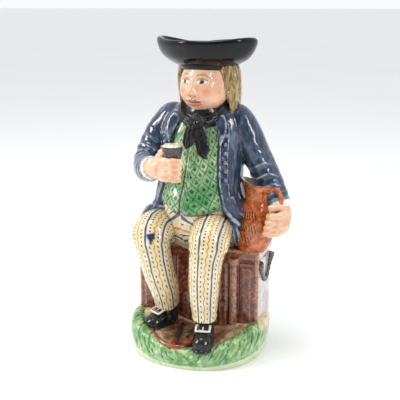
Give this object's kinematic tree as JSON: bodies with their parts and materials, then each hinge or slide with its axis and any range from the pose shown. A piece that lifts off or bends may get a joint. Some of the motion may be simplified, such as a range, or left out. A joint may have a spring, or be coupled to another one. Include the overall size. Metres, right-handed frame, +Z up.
{
  "type": "toby jug",
  "caption": "Hollow glazed earthenware jug shaped as a seated sailor on a sea chest, with a three-cornered hat as its mouth and a strap handle behind.",
  "frame": {"origin": "centre of the flat underside of the base, where the jug stands", "axes": "+Z up, and the seated figure faces -Y, so that +X is the figure's left side"},
  "size_m": [0.1504, 0.1418, 0.2907],
  "materials": {
    "glaze": "clear lead glaze over cream earthenware",
    "hat_black": "glossy black glaze",
    "skin": "peach enamel under a glossy glaze",
    "hair": "streaked ochre under a glossy glaze",
    "coat_blue": "mottled dark blue glaze, thin on raised edges",
    "waistcoat_green": "green wash with a dark lattice under the glaze",
    "trousers_striped": "cream with painted stripes and dots under the glaze",
    "chest_brown": "sponged red-brown under the glaze",
    "ground_green": "green and tan washes under the glaze",
    "pitcher_orange": "mottled orange-brown glaze",
    "anchor_red": "brick-red slip under the glaze"
  },
  "bodies": {
    "root": {"toby_jug": "glaze"}
  },
  "joints": []
}
